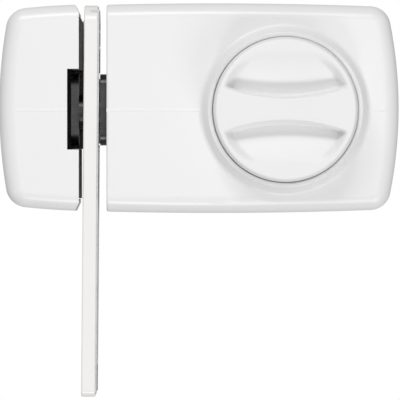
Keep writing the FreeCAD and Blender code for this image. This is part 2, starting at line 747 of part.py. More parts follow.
def make_bolt():
    """Steel bolt: T head, round neck, flat body and a fork whose upper arm is the rack."""
    body = new_body("bolt")
    top, bottom = S["bolt_top"], -S["bolt_bottom"]
    tip_line = pitch_radius - S["gear_module"]
    root_line = pitch_radius + S["gear_module"] * 1.35
    lower_arm = -(pitch_radius + S["gear_module"] + 0.6)
    neck_end = S["head_tip_x"] - S["head_thick"]
    front = -bolt_front.value
    pad(body, "XZ_Plane", bolt_back, S["bolt_thick"], [box_loop(-S["shoulder_x"], bottom, -S["fork_x"], top)])
    neck = circle(-S["bolt_mid_y"], -0.5, S["neck_radius"])
    pad(body, "YZ_Plane", -neck_end, neck_end - S["shoulder_x"], [neck])
    pad(body, "YZ_Plane", -S["head_tip_x"], S["head_thick"], [box_loop(-bolt_front, bottom, -bolt_back, top)])
    round_edges(body, S["bolt_round"], lambda e: along(e, TO_LOCK) and abs(e.CenterOfMass.y - front) < 1e-4
                and abs(e.CenterOfMass.z) > 11)
    for low, high in ((tip_line, top), (bottom, lower_arm)):
        arm = box_loop(-S["fork_x"] - 1, low, S["tail_x"], high)
        pad(body, "XZ_Plane", bolt_back, S["bolt_thick"], [arm])
    pitch = S["gear_module"] * math.pi
    slope = math.tan(math.radians(20))
    wide = (pitch / 2 + S["gear_module"] * 2 * slope) / 2 + 0.03
    narrow = (pitch / 2 - S["gear_module"] * 2.7 * slope) / 2 + 0.03
    first = -pitch * 9
    gap = [(first - wide, tip_line - 0.01), (first + wide, tip_line - 0.01), (first + narrow, root_line),
           (first - narrow, root_line)]
    tooth = cut(body, "XZ_Plane", bolt_back - 1, S["bolt_thick"] + 2, [gap])
    row = body.newObject("PartDesign::LinearPattern", "bolt_rack")
    row.Originals = [tooth]
    row.Direction = (origin_item(body, "X_Axis"), [""])
    bind(row, "Length", pitch * (S["rack_teeth"] - 1))
    row.Occurrences = int(S["rack_teeth"].value)
    body.Tip = row
    doc.recompute()
    step = pitch_radius * math.pi / 2
    for place in (-1, 0, 1):
        mid = step * place + NOTCH_X
        cut(body, "XZ_Plane", bolt_back - 1, S["bolt_thick"] + 2,
            [[(mid - NOTCH_HALF, top + 0.01), (mid, top - NOTCH_DEEP), (mid + NOTCH_HALF, top + 0.01)]])


# ---------------------------------------------------------------- strike


def strike_outline(inset):
    """The strike's outline seen from the front, drawn in by inset on its three closed sides."""
    right = -S["strike_right"]
    nick_wide, nick_high = 1.3, 2.7
    top, bottom = S["strike_top"] - inset, inset - S["strike_bottom"]
    left = inset - S["strike_corner_x"]
    return [
        (left, inset - S["strike_corner_bottom"], S["strike_long_arc"]),
        (right - nick_wide, bottom), (right, bottom + nick_high),
        (right, top - nick_high), (right - nick_wide, top, S["strike_long_arc"]),
        (left, S["strike_corner_top"] - inset, S["strike_side_arc"]),
    ]


def strike_cavity():
    """What the strike cover leaves hollow: it runs out through the side that faces the bar."""
    wall = S["cover_wall"]
    left = wall - S["strike_corner_x"]
    return [
        (left, wall - S["strike_corner_bottom"]), (-S["strike_right"] + 1, wall - S["strike_corner_bottom"]),
        (-S["strike_right"] + 1, S["strike_corner_top"] - wall), (left, S["strike_corner_top"] - wall,
                                                                S["strike_side_arc"] - wall),
    ]


def make_strike_cover():
    """White shell over the strike, open towards the bar, with the notch that the bolt's head comes out of."""
    body = new_body("strike_cover")
    pad(body, "XZ_Plane", 0, S["cover_depth"], [strike_outline(size(0))])
    round_edges(body, S["strike_corner_round"], lambda e: along(e, OUT) and e.CenterOfMass.x < -90)
    left_side = -S["strike_right"].value - 1.4
    round_edges(body, S["edge_round"], lambda e: on_front(e) and e.CenterOfMass.x < left_side)
    ridge(body, -S["strike_left"] + 5.2, -S["notch_left"])
    cut(body, "XZ_Plane", -1, S["cover_depth"] - S["cover_wall"] + 1, [strike_cavity()])
    cut(body, "XZ_Plane", S["cover_depth"] - 8, 9,
        [box_loop(-S["notch_left"], -S["notch_bottom"], -S["strike_right"] + 1, S["notch_top"])])
    screw_recess(body, STRIKE_SCREW_X, STRIKE_SCREW_FACE)


STRIKE_HOLES = [(x, z) for x in (-85.5, -75.5) for z in (-24.0, 24.0)]
KEEPER_HOLES = [(-81.0, z) for z in (-14.9, 15.5)]
RIVET_SPOTS = [(-5.0, 9.5), (-5.0, -5.5)]
RIVET_RADIUS = 1.2
angle_right = -S["strike_right"] + 0.4
angle_left = angle_right - 2.5


def make_strike_angle():
    """Folded steel angle: its foot is screwed to the frame, and its wall carries the bar's pivot."""
    loops = [box_loop(-90.0, -29.6, angle_right, 31.2)]
    loops += [circle(x, z, DOOR_HOLE_RADIUS) for x, z in STRIKE_HOLES]
    loops += [circle(x, z, SCREW_RADIUS) for x, z in KEEPER_HOLES]
    body = plate("strike_angle", "XZ_Plane", 0, S["plate_thick"], loops)
    wall_front = -27.4
    pad(body, "YZ_Plane", angle_left, 2.5, [box_loop(wall_front, -29.6, -0.5, 31.2)])
    cut(body, "YZ_Plane", angle_left - 1, 5,
        [box_loop(wall_front - 1, 0.4 - S["notch_bottom"], -7.9, S["notch_top"] - 0.4)])
    cut(body, "YZ_Plane", angle_left - 1, 5, [circle(-S["bolt_mid_y"], S["pivot_z"], S["pivot_radius"])])
    for y, z in RIVET_SPOTS:
        cut(body, "YZ_Plane", angle_left - 1, 5, [circle(y, z, RIVET_RADIUS)])
    cover_tab(body, STRIKE_SCREW_X, -29.65)
    for x, z in KEEPER_HOLES:
        cone_hole(body, x, z)


def make_keeper():
    """Steel pocket that takes the thrown bolt and holds it from the front."""
    right = -S["notch_left"] - 0.5
    left = -88.6
    low, high = -S["bolt_bottom"] - 0.9, S["bolt_top"] + 0.9
    body = plate("keeper", "XZ_Plane", S["plate_thick"], 22.4, [box_loop(left, low - 4.5, right, high + 4.5)])
    cut(body, "XZ_Plane", bolt_back - 0.7, S["bolt_thick"] + 1.4, [box_loop(left + 2, low, right + 1, high)])
    for x, z in KEEPER_HOLES:
        cut(body, "XZ_Plane", 0, 14, [circle(x, z, SCREW_RADIUS)])
    round_edges(body, 1.0, lambda e: along(e, UP) and e.CenterOfMass.y < -24)


def make_pivot():
    """Pivot plate on the strike's wall, its rivets, the pin, its clip and the two washers."""
    right = -S["bar_left"] - 0.45
    left = angle_right
    cutout = S["notch_top"] - 0.4
    body = plate("pivot_plate", "YZ_Plane", left, right - left, [[
        (-2.6, -12.8), (-2.6, 29.8), (-27.0, 29.8), (-27.0, cutout), (-7.5, cutout), (-7.5, -8.8)]])
    cut(body, "YZ_Plane", left - 1, 4, [circle(-S["bolt_mid_y"], S["pivot_z"], S["pivot_radius"])])
    for y, z in RIVET_SPOTS:
        cut(body, "YZ_Plane", left - 1, 4, [circle(y, z, RIVET_RADIUS)])
    group("pivot_plate_rivets", [
        rod(f"rivet_{number}", RIVET_RADIUS, right - angle_left, (angle_left, y, z), TO_LOCK)
        for number, (y, z) in enumerate(RIVET_SPOTS)])

    y, z = -S["bolt_mid_y"], S["pivot_z"]
    washer_right = -S["bar_left"] - 0.15
    head_left = HEAD_SEAT + 0.45
    clip_groove = 0.9
    shaft = rod("pivot_shaft", S["pivot_radius"], head_left - angle_left + 2.8, (head_left, y, z), TO_STRIKE)
    head = rod("pivot_head", 5.5, 1.2, (head_left, y, z), TO_LOCK)
    groove_at = angle_left - 0.1
    groove = ring("pivot_groove", S["pivot_radius"] + 1, S["pivot_radius"] - 0.7, clip_groove,
                  (groove_at, y, z), TO_STRIKE)
    pieces.pop("pivot_groove")
    pieces["pivot_pin"] = cut_from("pivot_pin", fuse("pivot_whole", [shaft, head]), groove)
    clip = plate("pivot_clip", "YZ_Plane", groove_at - 0.8, 0.7,
                 [circle(y, z, S["pivot_radius"] + 2.2), circle(y, z, S["pivot_radius"] - 0.65)])
    cut(clip, "YZ_Plane", groove_at - 2, 4, [box_loop(y - 1.8, z, y + 1.8, z + 9)])
    ring("bar_washer_strike_side", 6.5, S["pivot_radius"] + 0.1, washer_right - right, (right, y, z), TO_LOCK)
    ring("bar_washer_lock_side", 5.6, S["pivot_radius"] + 0.1, 0.35, (head_left, y, z), TO_STRIKE)


# ---------------------------------------------------------------- limiter bar


def bar_outline(inset):
    """The bar seen from its side, in (y, z): an eye at the top and a long flat tongue below it."""
    y, z = -S["bolt_mid_y"], S["pivot_z"]
    eye = S["eye_radius"] - inset
    front, rear = inset - S["bar_front"], -S["bar_rear"] - inset
    bottom = inset - S["bar_bottom"]
    return [(front, bottom), (rear, bottom), (rear, -16.0), (y + eye, z, eye), (y, z + eye), (front, z + eye)]


def bar_openings():
    """The slot that the neck slides in, and its mouth towards the door, as two loops."""
    y, z = -S["bolt_mid_y"], S["pivot_z"]
    half = S["slot_half"]
    slot = [(y - half, -S["slot_end"], half), (y + half, -S["slot_end"]), (y + half, 9.0), (y - half, 9.0)]
    lip = math.sqrt(S["mouth_radius"].value ** 2 - S["slot_half"].value ** 2)
    lip_rear = math.sqrt(S["mouth_radius"].value ** 2 - 14.5 ** 2)
    mouth = [(y - half, z - lip, S["mouth_radius"]), (y + 14.5, z - lip_rear), (y + 14.5, 12.9),
             (y - half, 12.9)]
    return slot, mouth


def cut_slot(body, left, long):
    slot, mouth = bar_openings()
    cut(body, "YZ_Plane", left, long, [mouth])
    cut(body, "YZ_Plane", left, long, [slot])


HEAD_SEAT = -64.3
HEAD_RECESS = 6.2
SLEEVE_SCREWS = [(-24.3, 4.0), (-14.5, -92.4)]


def make_bar():
    """Steel core bedded in a white plastic sleeve, with a bush in the eye."""
    y, z = -S["bolt_mid_y"], S["pivot_z"]
    bush = S["pivot_radius"] + 1.4
    rim = S["sleeve_rim"]

    thick = S["core_left"] - S["core_right"]
    core = plate("bar_core", "YZ_Plane", -S["core_left"], thick, [bar_outline(rim)])
    cut_slot(core, -S["core_left"] - 1, 6)
    cut(core, "YZ_Plane", -S["core_left"] - 1, 6, [circle(y, z, bush)])
    cut(core, "YZ_Plane", HEAD_SEAT, 4, [circle(y, z, HEAD_RECESS)])

    sleeve = plate("bar_sleeve", "YZ_Plane", -S["bar_left"], S["bar_left"] - S["bar_right"],
                   [bar_outline(size(0))])
    upper_front = -S["bar_front"].value
    round_edges(sleeve, 7.0, lambda e: along(e, TO_LOCK) and abs(e.CenterOfMass.y - upper_front) < 1e-4
                and e.CenterOfMass.z > 0)
    round_edges(sleeve, 2.5, lambda e: along(e, TO_LOCK) and e.CenterOfMass.z < -90)
    round_edges(sleeve, 0.5, lambda e: along(e, UP) and abs(e.CenterOfMass.y - upper_front) < 1e-4)
    bed = bar_outline(rim)
    cut(sleeve, "YZ_Plane", -S["core_left"], 4, [bed])
    cut_slot(sleeve, -S["bar_left"] - 1, 8)
    cut(sleeve, "YZ_Plane", -S["bar_left"] - 1, 8, [circle(y, z, bush)])

    liner = ring("bar_bush", bush, S["pivot_radius"] + S["fit_gap"], S["bar_left"] + HEAD_SEAT,
                 (-S["bar_left"], y, z), TO_LOCK)
    screws = []
    for number, (across, height) in enumerate(SLEEVE_SCREWS):
        for piece, start in ((core, -S["core_left"] - 1), (sleeve, -S["bar_left"] - 1)):
            cut(piece, "YZ_Plane", start, 8, [circle(across, height, SCREW_RADIUS)])
        cut(sleeve, "YZ_Plane", -S["bar_left"] - 1, 1 + 0.9, [circle(across, height, 2.6)])
        at = (-S["bar_left"] + 0.9, across, height)
        screws.append(cheese_head(f"sleeve_screw_{number}", at, TO_LOCK, 4.0, head=2.6, deep=0.85))
    group("sleeve_screws", screws)
    lean_bar([core, sleeve, liner, pieces["sleeve_screws"]])


def lean_bar(members):
    """Hangs the bar's pieces a little out of plumb, about the middle of the pivot."""
    middle = Vector(-(S["bar_left"] + S["core_right"]).value / 2, -S["bolt_mid_y"].value, S["pivot_z"].value)
    tilt = Rotation(Vector(0, 1, 0), S["bar_lean"].value)
    for member in members:
        member.Placement = Placement(middle - tilt.multVec(middle), tilt)


# ---------------------------------------------------------------- fasteners


def make_fasteners():
    """Screws of the mechanism case, its lid, the keeper and the two covers."""
    group("mechanism_case_screws", [
        countersunk(f"case_screw_{i}", (x, 0, z), OUT, 11.5) for i, (x, z) in enumerate(CHEST_HOLES)])
    group("mechanism_lid_screws", [
        cheese_head(f"lid_screw_{i}", (x, -lid_front, z), TO_DOOR, 9.0)
        for i, (x, z) in enumerate(LID_HOLES)])
    group("keeper_screws", [
        countersunk(f"keeper_screw_{i}", (x, 0, z), OUT, 13.0) for i, (x, z) in enumerate(KEEPER_HOLES)])
    group("lock_cover_screws", [
        cheese_head(f"cover_screw_{i}", (x, -COVER_SCREW_Y, CASE_SCREW_FACE), UP, 5.0, deep=0.8)
        for i, x in enumerate(COVER_SCREW_X)])
    pieces["strike_cover_screw"] = cheese_head(
        "strike_cover_screw", (STRIKE_SCREW_X, -COVER_SCREW_Y, STRIKE_SCREW_FACE), UP, 5.0, deep=0.8)


def check_and_export():
    """Stops at the first faulty object, then writes one STEP file for each node."""
    doc.recompute()
    for item in doc.Objects:
        if set(item.State) & {"Invalid", "Error"}:
            raise ValueError(f"{item.Label}: {item.State}")
    os.makedirs("parts", exist_ok=True)
    for label, item in pieces.items():
        shape = item.Shape
        if shape.isNull() or not shape.isValid():
            raise ValueError(f"{label}: no valid shape")
        print(f"{label:26s} {len(shape.Solids)} solid(s)  {shape.Volume:10.1f} mm3")
        shape.exportStep(os.path.join("parts", label + ".step"))


make_lock_cover()
make_back_plate()
make_mechanism_case()
make_mechanism_lid()
make_bolt_guides()
make_detent_spring()
make_bushes()
make_pinion()
make_knob()
make_drive()
make_bolt()
make_strike_cover()
make_strike_angle()
make_keeper()
make_pivot()
make_bar()
make_fasteners()
check_and_export()
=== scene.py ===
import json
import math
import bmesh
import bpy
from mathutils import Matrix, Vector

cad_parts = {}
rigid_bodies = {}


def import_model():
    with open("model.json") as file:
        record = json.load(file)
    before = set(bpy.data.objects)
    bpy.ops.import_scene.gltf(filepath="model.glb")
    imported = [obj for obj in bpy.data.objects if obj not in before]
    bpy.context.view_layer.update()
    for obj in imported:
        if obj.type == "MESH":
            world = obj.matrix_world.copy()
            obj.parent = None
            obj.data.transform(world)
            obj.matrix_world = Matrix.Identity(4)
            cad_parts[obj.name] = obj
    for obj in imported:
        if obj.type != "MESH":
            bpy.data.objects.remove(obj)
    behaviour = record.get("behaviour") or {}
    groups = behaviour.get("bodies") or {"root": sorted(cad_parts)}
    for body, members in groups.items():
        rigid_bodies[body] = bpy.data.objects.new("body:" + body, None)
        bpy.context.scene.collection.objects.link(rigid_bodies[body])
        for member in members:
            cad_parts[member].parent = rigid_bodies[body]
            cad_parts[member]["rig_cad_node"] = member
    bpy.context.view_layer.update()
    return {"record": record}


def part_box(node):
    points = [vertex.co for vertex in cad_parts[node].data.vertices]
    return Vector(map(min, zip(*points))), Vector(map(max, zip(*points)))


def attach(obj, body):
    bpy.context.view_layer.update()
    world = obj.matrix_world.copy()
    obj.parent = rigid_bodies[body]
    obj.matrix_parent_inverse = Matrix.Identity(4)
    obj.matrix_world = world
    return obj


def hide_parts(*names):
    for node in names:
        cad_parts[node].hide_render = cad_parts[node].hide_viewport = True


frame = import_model()

# %% [markdown]
# # A door lock with a limiter bar
# The object is a lock that is screwed to the inside of a door, with its strike on the frame beside it.
# Every steel and plastic part already came in with the CAD frame, at its real size and place. This lesson
# gives the parts their finishes, makes the pieces that a CAD program makes too sharp or too plain, and
# lights them.
#
# First the boxes of the lock cover and the strike cover are read: the lock cover's size is printed, and the
# strike cover's front is where the camera's distance is measured from.

MM = 0.001


def node_object(node):
    """The Blender object of a CAD node."""
    return next(o for o in bpy.data.objects if o.get("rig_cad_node") == node)


lock_low, lock_high = [Vector(corner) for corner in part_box("lock_cover")]
strike_low = Vector(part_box("strike_cover")[0])
print("lock cover, mm:", [round(v / MM, 1) for v in lock_high - lock_low])

# %% [markdown]
# ## Camera
# The lock is looked at straight from the front, from far away with a long lens, so that parallel edges stay
# parallel. A little of the bar's side shows, because the bar stands left of the middle of the view.

# %% Place the camera
VIEW_WIDTH = 134.0 * MM
VIEW_X, VIEW_Z = -28.55 * MM, -30.2 * MM
STAND_OFF = 1.6
SENSOR_MM = 36.0
FACE_Y = strike_low.y

camera_data = bpy.data.cameras.new("camera")
camera_data.sensor_width = SENSOR_MM
camera_data.lens = SENSOR_MM * STAND_OFF / VIEW_WIDTH
camera_data.clip_end = 20.0  # metres that the camera sees
camera = bpy.data.objects.new("camera", camera_data)
camera.location = (VIEW_X, FACE_Y - STAND_OFF, VIEW_Z)
camera.rotation_euler = (math.radians(90), 0, 0)
bpy.context.collection.objects.link(camera)
bpy.context.scene.camera = camera
bpy.context.scene.view_settings.view_transform = "Standard"
print("lens, mm:", round(camera_data.lens, 1))

# %% [markdown]
# ## Surfaces that several finishes share
# A moulded plastic is never quite smooth: the mould leaves a very fine grain, which blurs reflections. A
# ground metal has fine lines along one direction. Each effect is a node group, so one recipe serves many
# materials, and each material sets its own amounts. A group only works out colours, roughness and height;
# the shader stays in the material.

# %% Helpers for node groups
FLOAT, COLOUR = "NodeSocketFloat", "NodeSocketColor"


def new_group(name, inputs, outputs):
    """A shader node group with float or colour sockets, and its input and output nodes."""
    group = bpy.data.node_groups.new(name, "ShaderNodeTree")
    for socket, kind, value in inputs:
        made = group.interface.new_socket(socket, in_out="INPUT", socket_type=kind)
        made.default_value = value
    for socket, kind in outputs:
        group.interface.new_socket(socket, in_out="OUTPUT", socket_type=kind)
    return group, group.nodes.new("NodeGroupInput"), group.nodes.new("NodeGroupOutput")


def add_node(tree, kind, links=None, **settings):
    """Adds a node, sets its properties, and links or sets its inputs by name or number."""
    node = tree.nodes.new(kind)
    for name, value in settings.items():
        setattr(node, name, value)
    for socket, value in (links or {}).items():
        if isinstance(value, bpy.types.NodeSocket):
            tree.links.new(value, node.inputs[socket])
        else:
            node.inputs[socket].default_value = value
    return node


def calc(tree, operation, first, second=0.0, clamp=False):
    """One step of arithmetic in a tree; gives its result's socket."""
    made = add_node(tree, "ShaderNodeMath", {0: first, 1: second}, operation=operation, use_clamp=clamp)
    return made.outputs[0]


def put_out(group, given, out, darken, roughen, height):
    """Ends a finish's group: its colour less a share, its roughness plus a share, and its height."""
    toned = add_node(group, "ShaderNodeVectorMath",
                     {0: given.outputs["Colour"], "Scale": calc(group, "SUBTRACT", 1.0, darken)},
                     operation="SCALE")
    rough = calc(group, "ADD", given.outputs["Roughness"], roughen, clamp=True)
    group.links.new(toned.outputs[0], out.inputs["Colour"])
    group.links.new(rough, out.inputs["Roughness"])
    group.links.new(height, out.inputs["Height"])
    return group


print("helpers ready")

# %% Mould grain: the fine texture of a plastic moulding
SMEARS_PER_METRE = 45.0
SMEAR_TONE = 0.25  # how much of a smear's change in roughness shows in the colour too


def make_mould_grain():
    """Fine even grain, and faint smears where hands have been."""
    group, given, out = new_group(
        "mould_grain",
        [("Colour", COLOUR, (0.8, 0.8, 0.8, 1)), ("Grain Per Metre", FLOAT, 4000.0),
         ("Roughness", FLOAT, 0.35), ("Handling", FLOAT, 0.1)],
        [("Colour", COLOUR), ("Roughness", FLOAT), ("Height", FLOAT)])
    place = add_node(group, "ShaderNodeTexCoord").outputs["Object"]
    grain = add_node(group, "ShaderNodeTexNoise",
                     {"Vector": place, "Scale": given.outputs["Grain Per Metre"], "Detail": 2.0})
    smear = add_node(group, "ShaderNodeTexNoise",
                     {"Vector": place, "Scale": SMEARS_PER_METRE, "Detail": 4.0, "Roughness": 0.6})
    centred = calc(group, "SUBTRACT", smear.outputs["Fac"], 0.5)
    amount = calc(group, "MULTIPLY", centred, given.outputs["Handling"])
    tone = calc(group, "MULTIPLY", amount, SMEAR_TONE)
    return put_out(group, given, out, tone, amount, grain.outputs["Fac"])


mould_grain = make_mould_grain()
print("group:", mould_grain.name)

# %% Ground lines: the fine parallel scratches of ground or rolled steel
CLOUDS_PER_METRE = 140.0


def make_ground_lines():
    """Noise that is stretched into lines, and soft clouds where the steel has stained."""
    group, given, out = new_group(
        "ground_lines",
        [("Colour", COLOUR, (0.5, 0.5, 0.5, 1)), ("Lines X", FLOAT, 60.0), ("Lines Y", FLOAT, 5000.0),
         ("Lines Z", FLOAT, 5000.0), ("Roughness", FLOAT, 0.3), ("Unevenness", FLOAT, 0.15),
         ("Stain", FLOAT, 0.2)],
        [("Colour", COLOUR), ("Roughness", FLOAT), ("Height", FLOAT)])
    place = add_node(group, "ShaderNodeTexCoord").outputs["Object"]
    spread = add_node(group, "ShaderNodeCombineXYZ",
                      {"X": given.outputs["Lines X"], "Y": given.outputs["Lines Y"],
                       "Z": given.outputs["Lines Z"]})
    stretched = add_node(group, "ShaderNodeVectorMath", {0: place, 1: spread.outputs[0]},
                         operation="MULTIPLY")
    lines = add_node(group, "ShaderNodeTexNoise",
                     {"Vector": stretched.outputs[0], "Scale": 1.0, "Detail": 3.0})
    cloud = add_node(group, "ShaderNodeTexNoise",
                     {"Vector": place, "Scale": CLOUDS_PER_METRE, "Detail": 5.0})
    both = calc(group, "ADD", lines.outputs["Fac"], cloud.outputs["Fac"])
    centred = calc(group, "SUBTRACT", both, 1.0)
    uneven = calc(group, "MULTIPLY", centred, given.outputs["Unevenness"])
    stain = calc(group, "MULTIPLY", centred, given.outputs["Stain"])
    return put_out(group, given, out, stain, uneven, lines.outputs["Fac"])


ground_lines = make_ground_lines()
print("group:", ground_lines.name)

# %% [markdown]
# ## Materials
# Each material is one Principled shader. The group gives its colour, roughness and bump; whatever is the
# same all over, such as whether it is a metal, is typed into the shader itself.

# %% A material from a group
BUMP_HEIGHT = 0.02 * MM


def make_material(name, group, values, bump_strength, metallic):
    """A material that takes its surface from a group."""
    material = bpy.data.materials.new(name)
    material.use_nodes = True
    tree = material.node_tree
    shader = tree.nodes["Principled BSDF"]
    surface = add_node(tree, "ShaderNodeGroup", node_tree=group)
    for socket, value in values.items():
        surface.inputs[socket].default_value = value
    tree.links.new(surface.outputs["Colour"], shader.inputs["Base Color"])
    tree.links.new(surface.outputs["Roughness"], shader.inputs["Roughness"])
    bumped = add_node(tree, "ShaderNodeBump",
                      {"Height": surface.outputs["Height"], "Distance": BUMP_HEIGHT,
                       "Strength": bump_strength})
    tree.links.new(bumped.outputs["Normal"], shader.inputs["Normal"])
    shader.inputs["Metallic"].default_value = metallic
    return material


def grey(level, warm=0.0):
    """A grey as a colour, a little warmer or cooler."""
    return (level * (1 + warm), level, level * (1 - warm), 1.0)


print("a warm grey:", [round(v, 3) for v in grey(0.5, 0.04)])

# %% Make the materials
# plastics: colour, grains per metre, roughness, handling
PLASTICS = {
    "cover_white": (grey(0.82), 3200.0, 0.30, 0.08),
    "knob_white": (grey(0.81), 3200.0, 0.42, 0.08),
    "bar_white": (grey(0.82, 0.012), 3600.0, 0.30, 0.08),
    "nylon": (grey(0.66, 0.04), 2400.0, 0.55, 0.10),
}
finishes = {}
for name, (colour, grain, rough, handling) in PLASTICS.items():
    finishes[name] = make_material(
        name, mould_grain,
        {"Colour": colour, "Grain Per Metre": grain, "Roughness": rough, "Handling": handling},
        bump_strength=0.25, metallic=0.0)

# metals: colour, lines per metre across X, Y and Z, roughness, unevenness, stain
# (three equal numbers of lines give an even grain)
METALS = {
    "bolt_steel": (grey(0.07), (90.0, 4200.0, 4200.0), 0.34, 0.20, 0.5),
    "plate_steel": (grey(0.55), (90.0, 900.0, 2600.0), 0.36, 0.18, 0.4),
    # dark_steel is nearly black: partly the own dark finish of the steel behind the bar and in the strike's
    # notch, and partly painted shade for the deep gap round the bolt
    "dark_steel": (grey(0.06), (900.0, 900.0, 900.0), 0.45, 0.20, 0.5),
    "die_cast": (grey(0.45), (1500.0, 1500.0, 1500.0), 0.50, 0.20, 0.3),
    "spring_steel": (grey(0.35, 0.03), (80.0, 3000.0, 3000.0), 0.28, 0.15, 0.3),
    "screw_steel": (grey(0.55), (1600.0, 1600.0, 1600.0), 0.30, 0.15, 0.3),
}
for name, (colour, lines, rough, uneven, stain) in METALS.items():
    finishes[name] = make_material(
        name, ground_lines,
        {"Colour": colour, "Lines X": lines[0], "Lines Y": lines[1], "Lines Z": lines[2],
         "Roughness": rough, "Unevenness": uneven, "Stain": stain},
        bump_strength=0.4, metallic=1.0)
print("materials:", ", ".join(finishes))

# %% Put the materials on the CAD parts
FINISH_OF_SLOT = {
    "white_plastic": "cover_white", "knob_plastic": "knob_white", "bar_plastic": "bar_white",
    "bolt_steel": "bolt_steel", "plate_steel": "plate_steel", "die_cast": "die_cast", "nylon": "nylon",
    "spring_steel": "spring_steel", "screw_steel": "screw_steel", "dark_steel": "dark_steel",
}
slot_of_node = {part["node"]: part["material_slot"] for part in frame["record"]["subparts"]}
for node, slot in slot_of_node.items():
    for material_slot in node_object(node).material_slots:
        material_slot.material = finishes[FINISH_OF_SLOT[slot]]
print("finished CAD parts:", len(slot_of_node))

# %% [markdown]
# ## Lathe work
# A screw and a knob are both round about one axis, so both start as a lathe shape: a profile of (radius,
# height) points that is spun round. Spinning it in code keeps every ring in order, so the faces all point
# outwards and the two ends close in a single point each.

# %% A lathe for round pieces
def lathe(name, profile, segments, turn=Matrix()):
    """A closed mesh from (radius, height) points, bottom end first. Both ends lie on the axis, local Z."""
    shape = bmesh.new()
    rings = []
    for radius, height in profile:
        if radius == 0:
            rings.append([shape.verts.new(turn @ Vector((0, 0, height)))])
            continue
        ring = []
        for step in range(segments):
            angle = 2 * math.pi * step / segments
            place = Vector((radius * math.cos(angle), radius * math.sin(angle), height))
            ring.append(shape.verts.new(turn @ place))
        rings.append(ring)
    for low, high in zip(rings, rings[1:]):
        for step in range(segments):
            after = (step + 1) % segments
            if len(low) == 1:
                shape.faces.new((low[0], high[after], high[step]))
            elif len(high) == 1:
                shape.faces.new((low[step], low[after], high[0]))
            else:
                shape.faces.new((low[step], low[after], high[after], high[step]))
    mesh = bpy.data.meshes.new(name)
    bmesh.ops.recalc_face_normals(shape, faces=shape.faces)
    shape.to_mesh(mesh)
    shape.free()
    piece = bpy.data.objects.new(name, mesh)
    bpy.context.collection.objects.link(piece)
    return piece


def smooth_by_angle(mesh, degrees):
    """Shades a mesh smooth, but keeps edges sharper than an angle crisp."""
    limit = math.radians(degrees)
    shape = bmesh.new()
    shape.from_mesh(mesh)
    for face in shape.faces:
        face.smooth = True
    for edge in shape.edges:
        edge.smooth = len(edge.link_faces) == 2 and edge.calc_face_angle(0) < limit
    shape.to_mesh(mesh)
    shape.free()


def arc_points(centre, radius, start, finish, steps):
    """Points on an arc in a profile: angles in degrees from the radial direction."""
    points = []
    for step in range(steps + 1):
        angle = math.radians(start + (finish - start) * step / steps)
        points.append((centre[0] + radius * math.cos(angle), centre[1] + radius * math.sin(angle)))
    return points


print("lathe ready")

# %% [markdown]
# ## Geometry Nodes helpers
# A Geometry Nodes tree is a recipe with inputs. Here each recipe is written as short lines of arithmetic;
# its sizes are named inputs, so that other values can be tried without rewriting it. When the recipe has
# run, the result is taken as a plain mesh, because an exported model can't carry a recipe.

# %% Helpers for geometry recipes
class Recipe:
    """A Geometry Nodes tree that is written step by step."""

    def __init__(self, name, sizes):
        self.tree = bpy.data.node_groups.new(name, "GeometryNodeTree")
        face = self.tree.interface
        face.new_socket("Geometry", in_out="INPUT", socket_type="NodeSocketGeometry")
        self.ids = {}
        for title, kind in sizes:
            self.ids[title] = face.new_socket(title, in_out="INPUT", socket_type=kind).identifier
        face.new_socket("Geometry", in_out="OUTPUT", socket_type="NodeSocketGeometry")
        self.given = self.tree.nodes.new("NodeGroupInput")
        self.out = self.tree.nodes.new("NodeGroupOutput")

    def size(self, title):
        """The socket of a named input."""
        return self.given.outputs[title]

    def node(self, kind, links=None, **settings):
        """One more node in this tree."""
        return add_node(self.tree, kind, links, **settings)

    def calc(self, operation, first, second=0.0):
        """One step of arithmetic in this tree."""
        return calc(self.tree, operation, first, second)

    def finish(self, geometry, material):
        """Ends the tree: real geometry in place of copies, with its material."""
        real = self.node("GeometryNodeRealizeInstances", {"Geometry": geometry})
        dressed = self.node("GeometryNodeSetMaterial",
                            {"Geometry": real.outputs[0], "Material": material})
        self.tree.links.new(dressed.outputs[0], self.out.inputs["Geometry"])


def keep_result(piece, modifier):
    """Keeps what a piece's modifier makes as its plain mesh, and takes the modifier off."""
    bpy.context.view_layer.update()
    depsgraph = bpy.context.evaluated_depsgraph_get()
    result = bpy.data.meshes.new_from_object(piece.evaluated_get(depsgraph), depsgraph=depsgraph)
    piece.modifiers.remove(modifier)
    piece.data = result
    return result


def run_recipe(piece, recipe, values):
    """Runs a recipe on a piece and keeps the result as the piece's plain mesh."""
    modifier = piece.modifiers.new(recipe.tree.name, "NODES")
    modifier.node_group = recipe.tree
    for title, value in values.items():
        modifier[recipe.ids[title]] = value
    return keep_result(piece, modifier)


print("recipes ready")

# %% [markdown]
# ## The knob
# The knob is one white moulding: a disc with a grip left standing across it between two finger recesses.
# The recesses follow a rule, so a recipe can press them into a plain disc: each is a lens between the
# grip's hollow side and a circle near the rim, and its floor drops in a soft S towards the grip. A smooth
# step at the lens's edge gives the rounded bead that shows along the grip.

# %% Recipe that presses the finger recesses
PRESS_SIZES = {
    "Depth": 6.0 * MM,        # the most that the floor could drop
    "Rim Radius": 22.3 * MM,  # where a recess ends towards the rim
    "Waist": 3.3 * MM,        # half the grip's width at its narrowest
    "Grip Arc": 58.8 * MM,    # radius of the grip's hollow side
    "Far Edge": 20.5 * MM,    # how far off the middle the floor starts to drop
    "Bead": 1.8 * MM,         # width of the rounding along the grip
    "Run Out": 3.0 * MM,      # width of the soft edge at the rim
}
press = Recipe("press_recesses", [(title, FLOAT) for title in PRESS_SIZES]
               + [("Front", FLOAT), ("Finish", "NodeSocketMaterial")])


